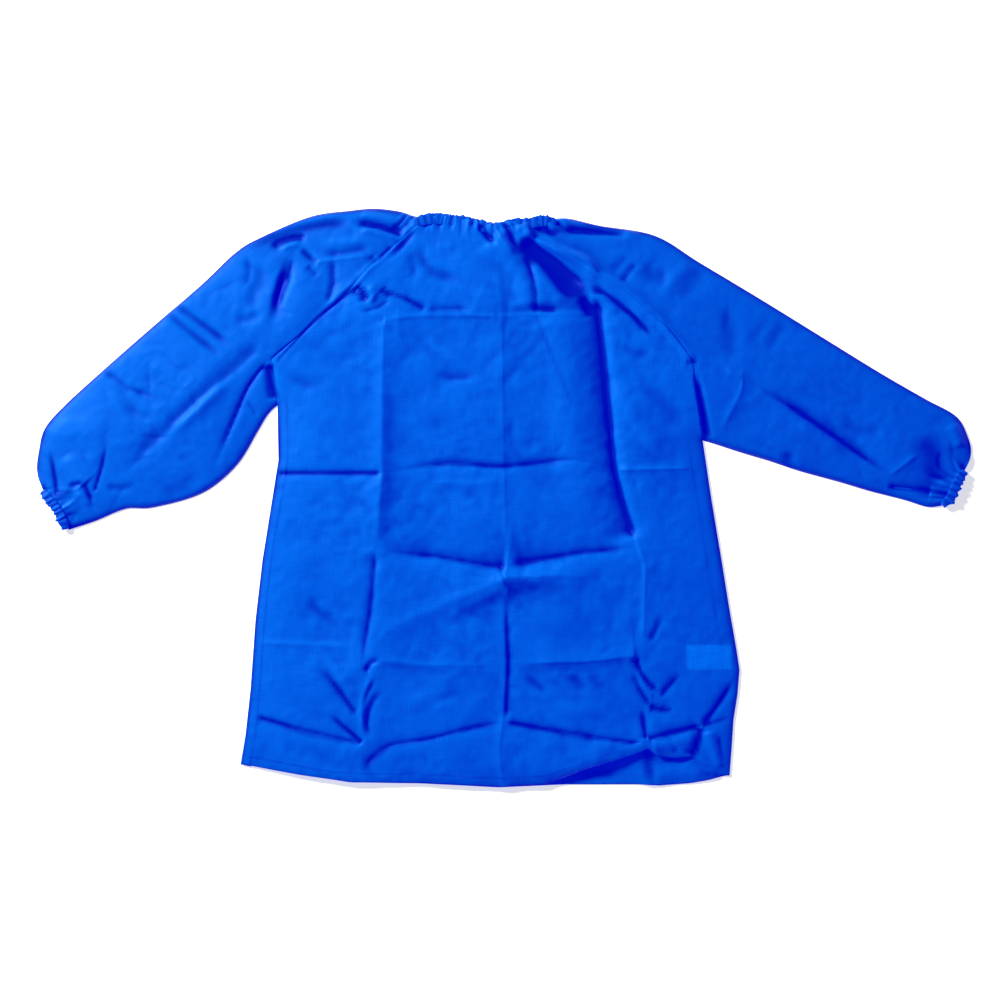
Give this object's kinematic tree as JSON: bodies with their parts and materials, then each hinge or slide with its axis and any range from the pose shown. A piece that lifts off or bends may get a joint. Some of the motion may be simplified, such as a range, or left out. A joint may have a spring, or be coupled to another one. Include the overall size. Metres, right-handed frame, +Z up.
{
  "type": "artist smock",
  "caption": "Child's long-sleeved pull-on art smock in woven taffeta, laid flat, with raglan sleeves, gathered elastic neck and cuffs and a back slit.",
  "frame": {"origin": "on the table, under the middle of the smock's outline as it lies on its back", "axes": "+X to the wearer's left, +Y from the hem to the neck, +Z up from the table, out of the smock's front"},
  "size_m": [0.9412, 0.575, 0.013],
  "materials": {
    "taffeta": "satin",
    "taffeta_inside": "satin",
    "overlocked_seam": "matte",
    "knitted_elastic": "matte",
    "hook_and_loop_tape": "matte",
    "label_ribbon": "satin"
  },
  "bodies": {
    "torso": {"back_panel": "taffeta", "care_label": "label_ribbon", "front_panel": "taffeta", "left_back_raglan_seam": "overlocked_seam", "left_front_raglan_seam": "overlocked_seam", "left_side_seam": "overlocked_seam", "left_sleeve_shoulder": "taffeta", "left_slit_facing": "taffeta_inside", "loop_patch": "hook_and_loop_tape", "neck_casing": "taffeta", "neck_elastic": "knitted_elastic", "right_back_raglan_seam": "overlocked_seam", "right_front_raglan_seam": "overlocked_seam", "right_side_seam": "overlocked_seam", "right_sleeve_shoulder": "taffeta", "right_slit_facing": "taffeta_inside"},
    "left_sleeve": {"left_sleeve_arm": "taffeta", "left_underarm_seam": "overlocked_seam", "left_cuff_casing": "taffeta", "left_cuff_elastic": "knitted_elastic"},
    "right_sleeve": {"right_sleeve_arm": "taffeta", "right_underarm_seam": "overlocked_seam", "right_cuff_casing": "taffeta", "right_cuff_elastic": "knitted_elastic"},
    "neck_closure": {"closure_tab": "taffeta", "hook_patch": "hook_and_loop_tape"}
  },
  "joints": [
    {"name": "left_sleeve_fold", "type": "hinge", "parent": "torso", "child": "left_sleeve", "pos_m": [0.23339, 0.12, 0.0114], "axis": [0, -1, 0], "range_deg": [0, 170]},
    {"name": "right_sleeve_fold", "type": "hinge", "parent": "torso", "child": "right_sleeve", "pos_m": [-0.26661, 0.14, 0.0114], "axis": [0, 1, 0], "range_deg": [0, 170]},
    {"name": "closure_tab_peel", "type": "hinge", "parent": "torso", "child": "neck_closure", "pos_m": [-0.01681, 0.279, 0], "axis": [0, 1, 0], "range_deg": [0, 170]}
  ]
}
